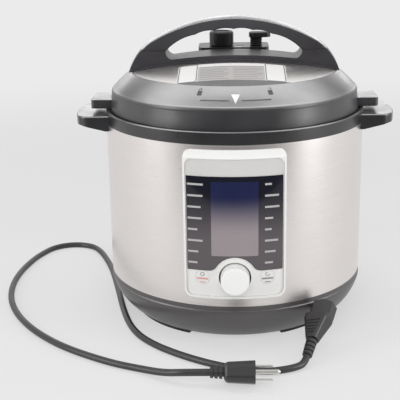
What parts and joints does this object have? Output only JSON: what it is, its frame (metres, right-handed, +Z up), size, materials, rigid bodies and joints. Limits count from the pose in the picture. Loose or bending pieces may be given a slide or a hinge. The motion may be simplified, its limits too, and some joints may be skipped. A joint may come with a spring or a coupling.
{
  "type": "electric pressure cooker",
  "caption": "Round electric pressure cooker with a turn-to-lock lid, arched lid handle, steam valve, dial control panel and a detachable mains lead.",
  "frame": {"origin": "on the pot's axis at the floor, under the middle of the cooker", "axes": "+Z up, control panel faces -Y, side handles along X"},
  "size_m": [0.4368, 0.4037, 0.3186],
  "materials": {
    "base_grey": "fine matte",
    "foot_rubber": "matte",
    "shell_steel": "brushed around the drum",
    "dome_steel": "polished, spun",
    "pot_steel": "satin",
    "rim_black": "satin black",
    "lid_black": "satin black",
    "handle_black": "satin black",
    "panel_silver": "silver paint",
    "panel_white": "smooth",
    "window_dark": "clear gloss over black",
    "lcd_face": "smooth",
    "knob_silver": "spun silver paint",
    "key_silver": "smooth",
    "platform_black": "satin black",
    "valve_black": "satin black",
    "button_black": "satin black",
    "silicone_dark": "matte",
    "silicone_clear": "matte",
    "hardware_steel": "bright",
    "cast_aluminium": "turned",
    "board_green": "lacquered",
    "component_black": "matte",
    "inlet_black": "matte",
    "cup_grey": "smooth",
    "cord_black": "matte"
  },
  "bodies": {
    "cooker": {"base_tray": "base_grey", "feet": "foot_rubber", "base_screws": "hardware_steel", "outer_shell": "shell_steel", "upper_rim": "rim_black", "outer_pot": "pot_steel", "inner_pot": "pot_steel", "heating_plate": "cast_aluminium", "sensor_spring": "hardware_steel", "sensor_bracket": "pot_steel", "thermal_fuse": "component_black", "pressure_switch": "component_black", "power_board": "board_green", "panel_bezel": "panel_silver", "panel_fascia": "panel_white", "display_window": "window_dark", "lcd_module": "lcd_face", "display_board": "board_green", "dial_encoder": "component_black", "power_inlet": "inlet_black", "inlet_pins": "hardware_steel", "cup_bracket": "inlet_black", "power_cord": "cord_black", "plug_body": "cord_black", "plug_blades": "hardware_steel", "plug_relief": "cord_black", "connector_body": "cord_black", "connector_relief": "cord_black"},
    "lid_seal": {"sealing_ring": "silicone_clear"},
    "lid": {"lid_cover": "lid_black", "lid_dome": "dome_steel", "lid_plate": "pot_steel", "ring_rack": "hardware_steel", "lid_handle": "handle_black", "handle_base": "handle_black", "release_platform": "platform_black", "steam_pipe": "hardware_steel", "anti_block_shield": "pot_steel", "lid_screws": "hardware_steel", "button_bellows": "silicone_dark"},
    "release_button": {"release_button": "button_black"},
    "steam_valve": {"steam_valve": "valve_black"},
    "float": {"float_valve": "hardware_steel", "float_seal": "silicone_clear"},
    "dial_plunger": {"dial_plunger": "component_black"},
    "dial": {"dial_shaft": "hardware_steel", "dial_knob": "knob_silver"},
    "cancel_key": {"cancel_key": "key_silver"},
    "start_key": {"start_key": "key_silver"},
    "sensor_cap": {"sensor_cap": "cast_aluminium"},
    "condensation_cup": {"condensation_cup": "cup_grey"}
  },
  "joints": [
    {"name": "lid_lift", "type": "slide", "parent": "cooker", "child": "lid_seal", "axis": [0, 0, 1], "range_m": [0, 0.15]},
    {"name": "lid_turn", "type": "hinge", "parent": "lid_seal", "child": "lid", "pos_m": [0, 0, 0.22], "axis": [0, 0, 1], "range_deg": [-30, 0]},
    {"name": "release_press", "type": "slide", "parent": "lid", "child": "release_button", "axis": [0, 0, -1], "range_m": [0, 0.005], "stiffness_N_per_m": 600, "deforming": ["button_bellows"]},
    {"name": "valve_lift", "type": "slide", "parent": "lid", "child": "steam_valve", "axis": [0, 0, 1], "range_m": [0, 0.0025]},
    {"name": "float_rise", "type": "slide", "parent": "lid", "child": "float", "axis": [0, 0, 1], "range_m": [0, 0.006]},
    {"name": "dial_push", "type": "slide", "parent": "cooker", "child": "dial_plunger", "axis": [0, 1, 0], "range_m": [0, 0.001], "stiffness_N_per_m": 2500},
    {"name": "dial_turn", "type": "hinge", "parent": "dial_plunger", "child": "dial", "pos_m": [0, -0.14, 0.078], "axis": [0, 1, 0], "continuous": true},
    {"name": "cancel_press", "type": "slide", "parent": "cooker", "child": "cancel_key", "axis": [0.2228, 0.9749, 0], "range_m": [0, 0.0008], "stiffness_N_per_m": 2500},
    {"name": "start_press", "type": "slide", "parent": "cooker", "child": "start_key", "axis": [-0.2228, 0.9749, 0], "range_m": [0, 0.0008], "stiffness_N_per_m": 2500},
    {"name": "sensor_press", "type": "slide", "parent": "cooker", "child": "sensor_cap", "axis": [0, 0, -1], "range_m": [0, 0.0015], "stiffness_N_per_m": 2000, "deforming": ["sensor_spring"]},
    {"name": "cup_slide", "type": "slide", "parent": "cooker", "child": "condensation_cup", "axis": [0, 1, 0], "range_m": [0, 0.03]}
  ],
  "couplings": [
    {"joint": "valve_lift", "follows": "release_press", "ratio": 0.5}
  ]
}
